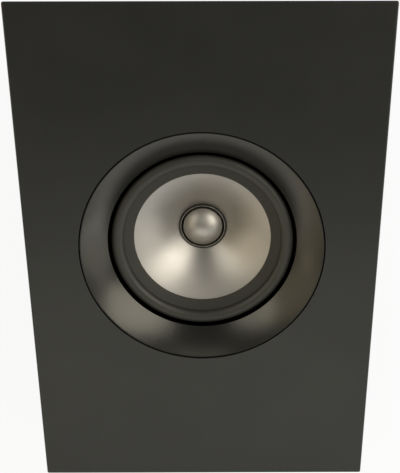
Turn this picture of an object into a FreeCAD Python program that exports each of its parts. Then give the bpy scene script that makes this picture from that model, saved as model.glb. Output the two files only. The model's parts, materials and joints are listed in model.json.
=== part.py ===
import FreeCAD, Part
import math
import os

os.makedirs("parts", exist_ok=True)

# A wedge-shaped height speaker. Millimetres, +Z up, front towards -Y, origin under the middle of the feet.

# Cabinet
cabinet_width = 180.0
cabinet_depth = 247.0
front_height = 60.0
baffle_tilt = 20.0
baffle_thickness = 25.0
wall_thickness = 15.0
edge_radius = 1.0
foot_diameter = 18.0
foot_height = 3.0
foot_inset = 22.0
pad_thickness = 8.0
pad_margin = 6.0

# Trim ring, flush in the baffle
driver_from_rear_edge = 124.0
ring_diameter = 125.0
ring_face_width = 13.4
ring_dish_depth = 11.6
ring_shell = 2.2
ring_lip_height = 2.6
ring_lip_wall = 1.8
ring_leg_width = 2.9
ring_hairline = 0.4
ring_edge_radius = 0.5
peg_diameter = 2.4
peg_length = 4.5
peg_count = 4

# Driver frame
flange_thickness = 2.2
flange_clearance = 0.6
gasket_thickness = 1.0
frame_wall = 2.0
cutout_clearance = 1.0
window_count = 6
window_angle = 42.0
driver_screw_length = 10.0
driver_screw_count = 4
first_screw_angle = 45.0

# Moving system
roll_gap = 1.3
roll_width = 6.8
roll_height = 3.2
surround_lip_width = 4.95
surround_thickness = 0.7
cone_depth = 20.1
cone_sagitta = 1.5
cone_thickness = 0.5
neck_length = 3.0
bead_width = 1.0
former_inner_diameter = 23.6
former_wall = 0.3
former_stand = 0.4
coil_height = 10.0
coil_build = 0.6
spider_drop = 8.0
spider_diameter = 67.0
spider_waves = 3
spider_wave_height = 0.9
spider_thickness = 0.6

# Motor
spider_to_motor = 10.0
top_plate_thickness = 4.0
top_plate_diameter = 54.0
magnet_thickness = 12.0
magnet_diameter = 65.0
magnet_bore = 33.0
back_plate_thickness = 4.5
coil_clearance = 0.5
plug_diameter = 21.2
plug_stand = 1.6
plug_dome_height = 5.0
plug_spigot_diameter = 6.0
plug_spigot_length = 8.0

# Driver terminals
strip_width = 26.0
strip_length = 15.0
strip_thickness = 1.6
tab_spacing = 12.0
tab_width = 4.8
tab_reach = 8.0
tab_thickness = 0.8
rivet_diameter = 2.4
rivet_head_diameter = 4.3
lead_diameter = 1.0
lead_bend = 2.0
lead_slack = 4.0

# Terminal cup in the rear panel
cup_width = 84.0
cup_height = 48.0
cup_flange = 2.5
cup_gasket_thickness = 1.0
cup_opening_width = 62.0
cup_opening_height = 30.0
cup_pocket_depth = 29.0
cup_wall = 2.2
cup_floor = 3.0
cup_corner = 5.0
cup_above_floor = 5.0
cup_screw_length = 8.0
post_spacing = 19.05
post_base_diameter = 11.0
post_base_height = 2.0
stud_diameter = 7.0
stud_length = 20.5
socket_diameter = 4.1
socket_depth = 16.0
wire_hole_diameter = 2.6
stem_diameter = 5.0
stem_length = 8.0
nut_height = 4.0
nut_across_flats = 8.0
lug_thickness = 0.8
lug_reach = 12.0
collar_diameter = 13.0
collar_thickness = 2.0
knob_diameter = 14.0
knob_length = 16.0
knob_chamfer = 1.0
knob_flutes = 16
running_clearance = 0.05

# Wall hanger in the rear panel
hanger_width = 24.0
hanger_margin = 3.9
hanger_thickness = 1.5
hanger_corner = 3.0
hanger_entry_diameter = 10.0
hanger_slot_width = 5.2
hanger_pocket_depth = 8.0
hanger_screw_inset = 4.5
hanger_slot_to_screw = 6.5
hanger_screw_length = 8.0

# Network board inside, near the front
board_width = 90.0
board_length = 56.0
board_thickness = 1.6
board_from_front_wall = 10.0
board_corner_inset = 5.0
standoff_height = 5.0
standoff_diameter = 6.0
board_screw_length = 11.0
bobbin_diameter = 30.0
bobbin_height = 14.0
bobbin_core_diameter = 12.0
bobbin_bore = 5.0
bobbin_flange = 1.5
capacitor_diameter = 13.0
capacitor_length = 30.0
resistor_width = 9.0
resistor_length = 28.0

# Wires
wire_diameter = 2.4
wire_bend = 5.0
wire_clear = 12.0

# Screws, all of one kind
screw_diameter = 3.5
screw_head_diameter = 6.4
screw_head_height = 1.9
screw_head_rim = 0.6
screw_recess_width = 1.3
screw_recess_length = 3.8
screw_recess_depth = 1.1

# Clearances
glue_line = 0.05
soft_gap = 0.3
fit_gap = 0.3
screw_clearance = 0.05

tilt = math.radians(baffle_tilt)
floor = foot_height
axis_z = FreeCAD.Vector(0, 0, 1)
origin = FreeCAD.Vector(0, 0, 0)


def point(x, y, z):
    return FreeCAD.Vector(x, y, z)


def polygon_face(points):
    return Part.Face(Part.makePolygon(points + points[:1]))


def line(start, end):
    return Part.makeLine(point(start[0], 0, start[1]), point(end[0], 0, end[1]))


def arc(start, middle, end):
    corners = [point(r, 0, z) for r, z in (start, middle, end)]
    return Part.Arc(*corners).toShape()


def turned_edges(edges, angle=360.0):
    return Part.Face(Part.Wire(edges)).revolve(origin, axis_z, angle)


def turned(profile, angle=360.0):
    return polygon_face([point(r, 0, z) for r, z in profile]).revolve(origin, axis_z, angle)


def disc(diameter, low, high, x=0.0, y=0.0):
    return Part.makeCylinder(diameter / 2, high - low, point(x, y, low))


def tube(outer, inner, low, high, x=0.0, y=0.0):
    return disc(outer, low, high, x, y).cut(disc(inner, low, high, x, y))


def block(width, length, low, high, x=0.0, y=0.0):
    return Part.makeBox(width, length, high - low, point(x - width / 2, y - length / 2, low))


def rounded_block(width, length, corner, low, high, x=0.0, y=0.0):
    plain = block(width, length, low, high, x, y)
    upright = [e for e in plain.Edges if abs(e.tangentAt(e.FirstParameter).z) > 0.5]
    return plain.makeFillet(corner, upright)


def hexagon(across_flats, low, high, x=0.0, y=0.0):
    radius = across_flats / math.sqrt(3)
    angles = [math.radians(60 * k) for k in range(6)]
    corners = [point(x + radius * math.cos(a), y + radius * math.sin(a), low) for a in angles]
    return polygon_face(corners).extrude(point(0, 0, high - low))


def around(shape, count, first_angle):
    copies = []
    for k in range(count):
        copy = shape.copy()
        copy.rotate(origin, axis_z, first_angle + 360.0 * k / count)
        copies.append(copy)
    return copies


def moved(shape, x, y, z=0.0):
    copy = shape.copy()
    copy.translate(point(x, y, z))
    return copy


def cord(points, diameter, bend):
    """Straight runs joined by tangent arcs, as one round solid."""
    edges = []
    start = points[0]
    for before, corner, after in zip(points, points[1:], points[2:]):
        back = (before - corner).normalize()
        ahead = (after - corner).normalize()
        half_angle = back.getAngle(ahead) / 2
        reach = bend / math.tan(half_angle)
        into = corner + back * reach
        out = corner + ahead * reach
        towards_middle = (back + ahead).normalize()
        middle = corner + towards_middle * (bend / math.sin(half_angle) - bend)
        edges.append(Part.makeLine(start, into))
        edges.append(Part.Arc(into, middle, out).toShape())
        start = out
    edges.append(Part.makeLine(start, points[-1]))
    section = Part.Wire(Part.makeCircle(diameter / 2, points[0], points[1] - points[0]))
    return Part.Wire(edges).makePipeShell([section], True, False)


def dome(radius, base, height):
    """An arc from the rim of a cap to its top, flat at the top."""
    cap_radius = (radius ** 2 + height ** 2) / (2 * height)
    middle = radius / 2
    fall = cap_radius - math.sqrt(cap_radius ** 2 - middle ** 2)
    return arc((radius, base), (middle, base + height - fall), (0, base + height))


# A low domed head on z = 0 with a cross recess, and a pointed shank below
def screw(length):
    head_radius = screw_head_diameter / 2
    shank_radius = screw_diameter / 2
    tip_base = -length + screw_diameter
    body = turned_edges([
        line((0, screw_head_height), (0, -length)),
        line((0, -length), (shank_radius, tip_base)),
        line((shank_radius, tip_base), (shank_radius, 0)),
        line((shank_radius, 0), (head_radius, 0)),
        line((head_radius, 0), (head_radius, screw_head_rim)),
        dome(head_radius, screw_head_rim, screw_head_height - screw_head_rim),
    ])
    recess_floor = screw_head_height - screw_recess_depth
    bar = block(screw_recess_width, screw_recess_length, recess_floor, 2 * screw_head_height)
    crossbar = block(screw_recess_length, screw_recess_width, recess_floor, 2 * screw_head_height)
    return body.cut(bar.fuse(crossbar))


def screw_hole(length):
    return disc(screw_diameter + 2 * screw_clearance, -length - screw_clearance, screw_diameter)


# Places: the driver's frame lies on the baffle, the rear frame on the rear panel, both with +Z outwards
def wedge_corners(wall, top):
    front = -cabinet_depth / 2 + wall
    rear = cabinet_depth / 2 - wall
    base = floor + wall

    def top_at(y):
        return floor + front_height + (y + cabinet_depth / 2) * math.tan(tilt) - top / math.cos(tilt)

    return [(front, base), (rear, base), (rear, top_at(rear)), (front, top_at(front))]


outer_profile = wedge_corners(0, 0)
inner_profile = wedge_corners(wall_thickness, baffle_thickness)
rear_top_y, rear_top_z = outer_profile[2]
driver_y = rear_top_y - driver_from_rear_edge * math.cos(tilt)
driver_z = rear_top_z - driver_from_rear_edge * math.sin(tilt)
driver_place = FreeCAD.Placement(point(0, driver_y, driver_z), FreeCAD.Rotation(point(1, 0, 0), baffle_tilt))
rear_turn = FreeCAD.Rotation(point(-1, 0, 0), point(0, 0, 1), point(0, 1, 0), "ZXY")


def on_baffle(shape):
    placed = shape.copy()
    placed.Placement = driver_place.multiply(placed.Placement)
    return placed


def on_rear(shape, height):
    placed = shape.copy()
    place = FreeCAD.Placement(point(0, cabinet_depth / 2, height), rear_turn)
    placed.Placement = place.multiply(placed.Placement)
    return placed


# Levels below the baffle's face, in the driver's frame
ring_radius = ring_diameter / 2
ring_inner_radius = ring_radius - ring_face_width
lip_top = -ring_dish_depth - ring_lip_height
flange_front = lip_top - surround_thickness
flange_back = flange_front - flange_thickness
rebate_floor = flange_back - gasket_thickness
roll_outer = ring_inner_radius - roll_gap
roll_inner = roll_outer - roll_width
cone_rim_radius = roll_inner + surround_thickness / 2
cone_rim_z = lip_top - surround_thickness - 2 * soft_gap
neck_z = cone_rim_z - cone_depth
former_outer_radius = former_inner_diameter / 2 + former_wall
neck_radius = former_outer_radius + glue_line
spider_z = neck_z - spider_drop
motor_z = spider_z - spider_to_motor
frame_opening = roll_outer - surround_thickness - fit_gap
frame_outer = frame_opening + frame_wall
cutout_radius = frame_outer + cutout_clearance
flange_radius = ring_radius - ring_leg_width - flange_clearance
screw_circle = (cutout_radius + flange_radius) / 2
peg_circle = ring_radius - ring_leg_width / 2
shelf_outer = spider_diameter / 2 + fit_gap + frame_wall
shelf_inner = spider_diameter / 2 - 2 * frame_wall
shelf_back = spider_z - frame_wall

# The cone's front is an arc; its circle's centre lies behind the cone
chord_r = cone_rim_radius - neck_radius
chord_z = cone_rim_z - neck_z
chord = math.hypot(chord_r, chord_z)
cone_arc_radius = (chord ** 2 / 4 + cone_sagitta ** 2) / (2 * cone_sagitta)
centre_reach = (cone_arc_radius - cone_sagitta) / chord
cone_centre_r = (neck_radius + cone_rim_radius) / 2 + chord_z * centre_reach
cone_centre_z = (neck_z + cone_rim_z) / 2 - chord_r * centre_reach


def cone_level(radius, lift=0.0):
    """Height of the cone's front, raised by lift along its normal."""
    run = radius - cone_centre_r
    return cone_centre_z + math.sqrt((cone_arc_radius + lift) ** 2 - run ** 2)


def cone_arc(start_radius, end_radius, lift):
    middle = (start_radius + end_radius) / 2
    return arc(*[(r, cone_level(r, lift)) for r in (start_radius, middle, end_radius)])


def make_panels():
    outer_solid = polygon_face([point(-cabinet_width / 2, y, z) for y, z in outer_profile])
    rounded = outer_solid.extrude(point(cabinet_width, 0, 0))
    rounded = rounded.makeFillet(edge_radius, rounded.Edges)
    skins = [(cabinet_width / 2, outer_profile), (cabinet_width / 2 - wall_thickness, inner_profile)]
    corners = {
        "bottom_panel": [(-1, 0), (1, 0), (1, 1), (-1, 1)],
        "rear_panel": [(-1, 1), (1, 1), (1, 2), (-1, 2)],
        "baffle": [(-1, 2), (1, 2), (1, 3), (-1, 3)],
        "front_panel": [(-1, 3), (1, 3), (1, 0), (-1, 0)],
        "left_side_panel": [(-1, 0), (-1, 1), (-1, 2), (-1, 3)],
        "right_side_panel": [(1, 0), (1, 1), (1, 2), (1, 3)],
    }
    panels = {}
    for name, places in corners.items():
        outside, inside = [[point(s * half, *profile[i]) for s, i in places] for half, profile in skins]
        faces = [polygon_face(outside), polygon_face(inside)]
        for k in range(4):
            n = (k + 1) % 4
            faces.append(polygon_face([outside[k], outside[n], inside[n], inside[k]]))
        mitred = Part.makeSolid(Part.makeShell(faces))
        if mitred.Volume < 0:
            mitred.reverse()
        panels[name] = mitred.common(rounded)
    return panels


def cut_baffle(panel):
    rebate = disc(2 * (ring_radius + ring_hairline), rebate_floor, baffle_thickness)
    hole = disc(2 * cutout_radius, -2 * baffle_thickness, baffle_thickness)
    peg_hole = disc(peg_diameter + 2 * glue_line, rebate_floor - peg_length - glue_line, 0, peg_circle)
    pilot = moved(screw_hole(driver_screw_length), screw_circle, 0, flange_front)
    tools = [rebate, hole] + around(peg_hole, peg_count, 0) + around(pilot, driver_screw_count, first_screw_angle)
    for tool in tools:
        panel = panel.cut(on_baffle(tool))
    return panel


def make_trim_ring():
    fall = ring_dish_depth / ring_face_width
    shell_drop = ring_shell * math.hypot(1, fall)

    def back_at(radius):
        return -(ring_radius - radius) * fall - shell_drop

    lip_outer = ring_inner_radius + ring_lip_wall
    leg_inner = ring_radius - ring_leg_width
    ring = turned([
        (ring_radius, 0),
        (ring_inner_radius, -ring_dish_depth),
        (ring_inner_radius, lip_top),
        (lip_outer, lip_top),
        (lip_outer, back_at(lip_outer)),
        (leg_inner, back_at(leg_inner)),
        (leg_inner, rebate_floor),
        (ring_radius, rebate_floor),
    ])
    front_rims = []
    for edge in ring.Edges:
        level = edge.BoundBox.ZMax
        flat = edge.BoundBox.ZLength < glue_line
        if flat and (abs(level) < glue_line or abs(level + ring_dish_depth) < glue_line):
            front_rims.append(edge)
    ring = ring.makeFillet(ring_edge_radius, front_rims)
    peg = disc(peg_diameter, rebate_floor - peg_length, rebate_floor + ring_leg_width, peg_circle)
    for copy in around(peg, peg_count, 0):
        ring = ring.fuse(copy)
    return ring.removeSplitter()


def make_basket():
    wall_foot = flange_back - frame_wall
    frame = turned([
        (frame_opening, flange_front),
        (flange_radius, flange_front),
        (flange_radius, flange_back),
        (frame_outer, flange_back),
        (frame_outer, wall_foot),
        (shelf_outer, shelf_back),
        (shelf_inner + frame_wall, shelf_back),
        (shelf_inner + frame_wall, motor_z),
        (magnet_bore / 2, motor_z),
        (magnet_bore / 2, motor_z + frame_wall),
        (shelf_inner, motor_z + frame_wall),
        (shelf_inner, spider_z),
        (shelf_outer - frame_wall, spider_z),
        (frame_opening, wall_foot),
    ])
    window = turned(
        [(shelf_inner, spider_z), (flange_radius, spider_z), (flange_radius, wall_foot), (shelf_inner, wall_foot)],
        window_angle,
    )
    for copy in around(window, window_count, ear_angle - window_angle / 2):
        frame = frame.cut(copy)
    ear_outer = shelf_outer + strip_length - 2 * frame_wall
    ear = block(strip_width, ear_outer - shelf_inner - frame_wall, shelf_back, spider_z)
    ear.translate(point(0, -(ear_outer + shelf_inner + frame_wall) / 2, 0))
    frame = frame.fuse(ear).removeSplitter()
    hole = moved(screw_hole(driver_screw_length), screw_circle, 0, flange_front)
    for copy in around(hole, driver_screw_count, first_screw_angle):
        frame = frame.cut(copy)
    for x in (-tab_spacing / 2, tab_spacing / 2):
        frame = frame.cut(disc(rivet_diameter + 2 * glue_line, shelf_back, spider_z, x, rivet_y))
    return frame


def make_surround():
    lip_radius = roll_inner - surround_lip_width
    front = soft_gap + surround_thickness
    roll_middle = (roll_inner + roll_outer) / 2
    crest = lip_top + roll_height
    back_foot = roll_inner + surround_thickness
    flange_lip = ring_inner_radius + ring_lip_wall - fit_gap
    outer_foot = (roll_outer - surround_thickness, flange_front)
    root = (roll_inner, cone_level(roll_inner, front))
    back_root = (back_foot, cone_level(back_foot, soft_gap))
    return turned_edges([
        line((lip_radius, cone_level(lip_radius, soft_gap)), (lip_radius, cone_level(lip_radius, front))),
        cone_arc(lip_radius, roll_inner, front),
        arc(root, (roll_middle, crest), (roll_outer, lip_top)),
        line((roll_outer, lip_top), (flange_lip, lip_top)),
        line((flange_lip, lip_top), (flange_lip, flange_front)),
        line((flange_lip, flange_front), outer_foot),
        arc(outer_foot, (roll_middle, crest - surround_thickness), back_root),
        cone_arc(back_foot, lip_radius, soft_gap),
    ])


def make_cone():
    def skin_points(lift):
        scale = (cone_arc_radius + lift) / cone_arc_radius
        radii = (neck_radius, (neck_radius + cone_rim_radius) / 2, cone_rim_radius)
        return [
            (cone_centre_r + (r - cone_centre_r) * scale, cone_centre_z + (cone_level(r) - cone_centre_z) * scale)
            for r in radii
        ]

    front = skin_points(0)
    back = skin_points(-cone_thickness)
    shell = turned_edges([arc(*front), line(front[2], back[2]), arc(*reversed(back)), line(back[0], front[0])])
    neck = tube(2 * (neck_radius + cone_thickness), 2 * neck_radius, neck_z - neck_length, neck_z)
    return shell.fuse(neck).removeSplitter()


def make_neck_bead():
    outer = neck_radius + bead_width
    foot = cone_level(neck_radius, glue_line)
    return turned([(neck_radius, foot), (outer, cone_level(outer, glue_line)), (neck_radius, foot + bead_width)])


def make_spider():
    inner = former_outer_radius + soft_gap
    outer = spider_diameter / 2
    first = inner + spider_thickness
    half_wave = (shelf_inner - first) / (2 * spider_waves)
    level = spider_z + spider_thickness

    def waves(height):
        edges = []
        for k in range(2 * spider_waves):
            start = first + k * half_wave
            swell = spider_wave_height if k % 2 else -spider_wave_height
            edges.append(arc((start, height), (start + half_wave / 2, height + swell), (start + half_wave, height)))
        return edges

    edges = [line((inner, level), (first, level))] + waves(level)
    edges += [line((shelf_inner, level), (outer, level)), line((outer, level), (outer, spider_z))]
    edges += [line((outer, spider_z), (shelf_inner, spider_z))] + waves(spider_z)
    edges += [line((first, spider_z), (inner, spider_z)), line((inner, spider_z), (inner, level))]
    return turned_edges(Part.__sortEdges__(edges))


def make_motor():
    pole_radius = former_inner_diameter / 2 - coil_clearance
    gap_radius = former_outer_radius + glue_line + coil_build + coil_clearance
    plate_back = motor_z - top_plate_thickness
    magnet_back = plate_back - magnet_thickness
    rear = magnet_back - back_plate_thickness
    chamfer = back_plate_thickness / 3
    plate_radius = top_plate_diameter / 2
    pole_top = motor_z + coil_clearance
    plug_radius = plug_diameter / 2
    spigot_low = pole_top - plug_spigot_length
    shoulder = neck_z + plug_stand
    apex = shoulder + plug_dome_height
    yoke = turned([
        (0, rear),
        (plate_radius - chamfer, rear),
        (plate_radius, rear + chamfer),
        (plate_radius, magnet_back),
        (pole_radius, magnet_back),
        (pole_radius, pole_top),
        (0, pole_top),
    ])
    spigot = disc(plug_spigot_diameter, spigot_low, pole_top)
    plug = turned_edges([
        line((0, apex), (0, pole_top)),
        line((0, pole_top), (plug_radius, pole_top)),
        line((plug_radius, pole_top), (plug_radius, shoulder)),
        dome(plug_radius, shoulder, plug_dome_height),
    ])
    return {
        "top_plate": tube(top_plate_diameter, 2 * gap_radius, plate_back, motor_z),
        "magnet": tube(magnet_diameter, magnet_bore, magnet_back, plate_back),
        "yoke": yoke.cut(disc(plug_spigot_diameter + 2 * glue_line, spigot_low - glue_line, pole_top)),
        "phase_plug": plug.fuse(spigot).removeSplitter(),
    }


def make_voice_coil():
    coil_middle = motor_z - top_plate_thickness / 2
    coil_low = coil_middle - coil_height / 2
    inner = 2 * (former_outer_radius + glue_line)
    winding = tube(inner + 2 * coil_build, inner, coil_low, coil_middle + coil_height / 2)
    former_low = coil_low - coil_build
    former = tube(2 * former_outer_radius, former_inner_diameter, former_low, neck_z + bead_width + former_stand)
    return former, winding


# The frame's ear carries the strip on the side towards the front, with the rivets in its middle
ear_angle = 270.0
rivet_y = -(shelf_inner + frame_wall + fit_gap + strip_length / 2)


def make_driver_terminals():
    strip_inner = -(shelf_inner + frame_wall + fit_gap)
    strip_outer = strip_inner - strip_length
    strip_back = shelf_back - strip_thickness
    tab_back = strip_back - tab_thickness
    tab_end = strip_outer - tab_reach
    tab_start = rivet_y + tab_width / 2
    hole_diameter = rivet_diameter + 2 * glue_line
    strip = block(strip_width, strip_length, strip_back, shelf_back, 0, rivet_y)
    solids = {}
    rivets = []
    for name, side in (("positive", 1), ("negative", -1)):
        x = side * tab_spacing / 2
        hole = disc(hole_diameter, tab_back, shelf_back, x, rivet_y)
        strip = strip.cut(hole)
        tab = block(tab_width, tab_start - tab_end, tab_back, strip_back, x, (tab_start + tab_end) / 2)
        solids["driver_tab_" + name] = tab.cut(hole)
        rivet = disc(rivet_diameter, tab_back - tab_thickness, spider_z + tab_thickness, x, rivet_y)
        rivet = rivet.fuse(disc(rivet_head_diameter, tab_back - tab_thickness, tab_back, x, rivet_y))
        rivet = rivet.fuse(disc(rivet_head_diameter, spider_z, spider_z + tab_thickness, x, rivet_y))
        rivets.append(rivet.removeSplitter())
        lead_start = -math.sqrt((former_outer_radius + soft_gap) ** 2 - (abs(x) - lead_diameter / 2) ** 2)
        lead_level = neck_z - neck_length - 1.5 * lead_diameter
        bow_level = lead_level + lead_slack
        bow_start = lead_start - 2 * lead_bend
        solids["tinsel_lead_" + name] = cord(
            [
                point(x, lead_start, lead_level),
                point(x, bow_start, lead_level),
                point(x, bow_start - lead_slack, bow_level),
                point(x, rivet_y, bow_level),
                point(x, rivet_y, spider_z + tab_thickness),
            ],
            lead_diameter,
            lead_bend,
        )
    solids["tab_strip"] = strip
    solids["tab_rivets"] = Part.makeCompound(rivets)
    return solids


# Levels of the terminal cup, in the rear frame
cup_front = -screw_head_height - fit_gap
cup_flange_back = cup_front - cup_flange
cup_rebate_floor = cup_flange_back - cup_gasket_thickness
cup_bottom = cup_front - cup_pocket_depth
cup_outer_width = cup_opening_width + 2 * cup_wall
cup_outer_height = cup_opening_height + 2 * cup_wall
cup_centre = floor + wall_thickness + cup_above_floor + cup_height / 2
cup_screw_x = (cup_width + cup_outer_width) / 4
cup_screw_y = (cup_height + cup_outer_height) / 4
cup_screw_places = [(sx * cup_screw_x, sy * cup_screw_y) for sx in (-1, 1) for sy in (-1, 1)]
post_places = {"red": post_spacing / 2, "black": -post_spacing / 2}
collar_seat = cup_bottom + post_base_height
knob_seat = collar_seat + collar_thickness
cup_back = cup_bottom - cup_floor
nut_seat = cup_back - lug_thickness

# Levels of the wall hanger, in the rear frame
hanger_front = -screw_head_height - fit_gap
hanger_back = hanger_front - hanger_thickness
hanger_low = cup_centre + cup_height / 2 + hanger_margin
hanger_high = inner_profile[2][1] - hanger_margin
hanger_centre = (hanger_low + hanger_high) / 2
hanger_height = hanger_high - hanger_low
hanger_screw_y = hanger_height / 2 - hanger_screw_inset
hanger_slot_reach = hanger_screw_y - hanger_slot_to_screw
hanger_screw_places = [(0, -hanger_screw_y), (0, hanger_screw_y)]


def cut_rear_panel(panel):
    gap = 2 * fit_gap
    outside = wall_thickness
    rebate = rounded_block(cup_width + gap, cup_height + gap, cup_corner + fit_gap, cup_rebate_floor, outside)
    hole = rounded_block(
        cup_outer_width + gap, cup_outer_height + gap, cup_corner + fit_gap, -2 * wall_thickness, outside
    )
    cup_tools = [rebate, hole]
    cup_tools += [moved(screw_hole(cup_screw_length), x, y, cup_front) for x, y in cup_screw_places]
    plate = rounded_block(
        hanger_width + gap, hanger_height + gap, hanger_corner + fit_gap, hanger_back, outside
    )
    pocket_length = 2 * hanger_slot_reach + hanger_entry_diameter
    pocket = block(hanger_entry_diameter + gap, pocket_length, hanger_back - hanger_pocket_depth, outside)
    hanger_tools = [plate, pocket]
    hanger_tools += [moved(screw_hole(hanger_screw_length), x, y, hanger_front) for x, y in hanger_screw_places]
    for tool in cup_tools:
        panel = panel.cut(on_rear(tool, cup_centre))
    for tool in hanger_tools:
        panel = panel.cut(on_rear(tool, hanger_centre))
    return panel


def make_terminal_cup():
    cup = rounded_block(cup_width, cup_height, cup_corner, cup_flange_back, cup_front)
    cup = cup.fuse(rounded_block(cup_outer_width, cup_outer_height, cup_corner, cup_back, cup_front))
    cup = cup.cut(rounded_block(cup_opening_width, cup_opening_height, cup_corner - cup_wall, cup_bottom, 0))
    gasket = rounded_block(cup_width, cup_height, cup_corner, cup_rebate_floor, cup_flange_back)
    gasket = gasket.cut(
        rounded_block(cup_outer_width, cup_outer_height, cup_corner, cup_rebate_floor, cup_flange_back)
    )
    screws = []
    for x, y in cup_screw_places:
        hole = moved(screw_hole(cup_screw_length), x, y, cup_front)
        cup = cup.cut(hole)
        gasket = gasket.cut(hole)
        screws.append(moved(screw(cup_screw_length), x, y, cup_front))
    for x in post_places.values():
        cup = cup.cut(disc(stem_diameter + 2 * glue_line, cup_back, cup_bottom, x))
    return {
        "terminal_cup": cup.removeSplitter(),
        "cup_gasket": gasket,
        "cup_screws": Part.makeCompound(screws),
    }


def make_post():
    stud_top = collar_seat + stud_length
    post = disc(post_base_diameter, cup_bottom, collar_seat)
    post = post.fuse(disc(stud_diameter, collar_seat, stud_top))
    post = post.fuse(disc(stem_diameter, nut_seat - stem_length, cup_bottom)).removeSplitter()
    socket = disc(socket_diameter, stud_top - socket_depth, stud_top)
    wire_level = collar_seat + collar_thickness / 2 + running_clearance
    wire_hole = Part.makeCylinder(
        wire_hole_diameter / 2, 2 * stud_diameter, point(-stud_diameter, 0, wire_level), point(1, 0, 0)
    )
    return post.cut(socket).cut(wire_hole)


def make_knob():
    bore = stud_diameter + 2 * running_clearance
    radius = knob_diameter / 2
    top = knob_seat + knob_length
    knob = turned([
        (bore / 2, knob_seat),
        (radius - knob_chamfer, knob_seat),
        (radius, knob_seat + knob_chamfer),
        (radius, top - knob_chamfer),
        (radius - knob_chamfer, top),
        (bore / 2, top),
    ])
    flute_diameter = math.pi * radius / knob_flutes
    flute = disc(flute_diameter, knob_seat + 2 * knob_chamfer, top, radius + flute_diameter / 6)
    for copy in around(flute, knob_flutes, 0):
        knob = knob.cut(copy)
    return knob


def make_posts():
    bore = stud_diameter + 2 * running_clearance
    stem_hole = stem_diameter + 2 * glue_line
    solids = {}
    nuts = []
    lugs = []
    for colour, x in post_places.items():
        side = math.copysign(1, x)
        solids[colour + "_post"] = moved(make_post(), x, 0)
        solids[colour + "_collar"] = tube(collar_diameter, bore, collar_seat, knob_seat, x)
        solids[colour + "_knob"] = moved(make_knob(), x, 0)
        nut = hexagon(nut_across_flats, nut_seat - nut_height, nut_seat, x)
        nuts.append(nut.cut(disc(stem_hole, nut_seat - nut_height, nut_seat, x)))
        lug = disc(nut_across_flats, nut_seat, cup_back, x)
        tongue_middle = x + side * lug_reach / 2
        lug = lug.fuse(block(lug_reach, nut_across_flats / 2, nut_seat, cup_back, tongue_middle))
        lugs.append(lug.cut(disc(stem_hole, nut_seat, cup_back, x)).removeSplitter())
    solids["post_nuts"] = Part.makeCompound(nuts)
    solids["post_lugs"] = Part.makeCompound(lugs)
    return solids


def make_hanger():
    plate = rounded_block(hanger_width, hanger_height, hanger_corner, hanger_back, hanger_front)
    plate = plate.cut(disc(hanger_entry_diameter, hanger_back, hanger_front))
    plate = plate.cut(block(hanger_slot_width, 2 * hanger_slot_reach, hanger_back, hanger_front))
    for side in (-1, 1):
        plate = plate.cut(disc(hanger_slot_width, hanger_back, hanger_front, 0, side * hanger_slot_reach))
    screws = []
    for x, y in hanger_screw_places:
        plate = plate.cut(moved(screw_hole(hanger_screw_length), x, y, hanger_front))
        screws.append(moved(screw(hanger_screw_length), x, y, hanger_front))
    return {"hanger_plate": plate, "hanger_screws": Part.makeCompound(screws)}


# The network board lies on the bottom panel
inner_floor = floor + wall_thickness
board_low = inner_floor + standoff_height
board_top = board_low + board_thickness
board_y = inner_profile[0][0] + board_from_front_wall + board_length / 2
board_corner_x = board_width / 2 - board_corner_inset
board_corner_y = board_length / 2 - board_corner_inset
board_holes = [(sx * board_corner_x, board_y + sy * board_corner_y) for sx in (-1, 1) for sy in (-1, 1)]
coil_x = -board_width / 4
capacitor_y = board_y + capacitor_diameter / 2 + wire_diameter
resistor_y = board_y - resistor_width


def make_network():
    board = rounded_block(board_width, board_length, board_corner_inset / 2, board_low, board_top, 0, board_y)
    standoffs = []
    screws = []
    for x, y in board_holes:
        hole = moved(screw_hole(board_screw_length), x, y, board_top)
        board = board.cut(hole)
        standoffs.append(disc(standoff_diameter, inner_floor, board_low, x, y).cut(hole))
        screws.append(moved(screw(board_screw_length), x, y, board_top))
    half_height = bobbin_height / 2
    core_radius = bobbin_core_diameter / 2
    bobbin = turned([
        (bobbin_bore / 2, -half_height),
        (bobbin_diameter / 2, -half_height),
        (bobbin_diameter / 2, -half_height + bobbin_flange),
        (core_radius, -half_height + bobbin_flange),
        (core_radius, half_height - bobbin_flange),
        (bobbin_diameter / 2, half_height - bobbin_flange),
        (bobbin_diameter / 2, half_height),
        (bobbin_bore / 2, half_height),
    ])
    winding_half = half_height - bobbin_flange
    winding = tube(
        bobbin_diameter - 2 * bobbin_flange, bobbin_core_diameter + 2 * glue_line, -winding_half, winding_half
    )
    coil_z = board_top + half_height
    capacitor_x = board_width / 4 - capacitor_length / 2
    capacitor = Part.makeCylinder(
        capacitor_diameter / 2,
        capacitor_length,
        point(capacitor_x, capacitor_y, board_top + capacitor_diameter / 2 + glue_line),
        point(1, 0, 0),
    )
    resistor = block(
        resistor_length, resistor_width, board_top, board_top + resistor_width, board_width / 4, resistor_y
    )
    return {
        "network_board": board,
        "board_standoffs": Part.makeCompound(standoffs),
        "board_screws": Part.makeCompound(screws),
        "coil_bobbin": moved(bobbin, coil_x, board_y, coil_z),
        "coil_winding": moved(winding, coil_x, board_y, coil_z),
        "capacitor": capacitor,
        "resistor": resistor,
    }


def cut_bottom_panel(panel):
    for x, y in board_holes:
        panel = panel.cut(moved(screw_hole(board_screw_length), x, y, board_top))
    return panel


def make_feet():
    lower = 0.9 * foot_diameter / 2
    foot = turned([(0, 0), (lower, 0), (foot_diameter / 2, foot_height), (0, foot_height)])
    foot_x = cabinet_width / 2 - foot_inset
    foot_y = cabinet_depth / 2 - foot_inset
    return {
        "foot_front_left": moved(foot, -foot_x, -foot_y),
        "foot_front_right": moved(foot, foot_x, -foot_y),
        "foot_rear_left": moved(foot, -foot_x, foot_y),
        "foot_rear_right": moved(foot, foot_x, foot_y),
    }


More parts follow.
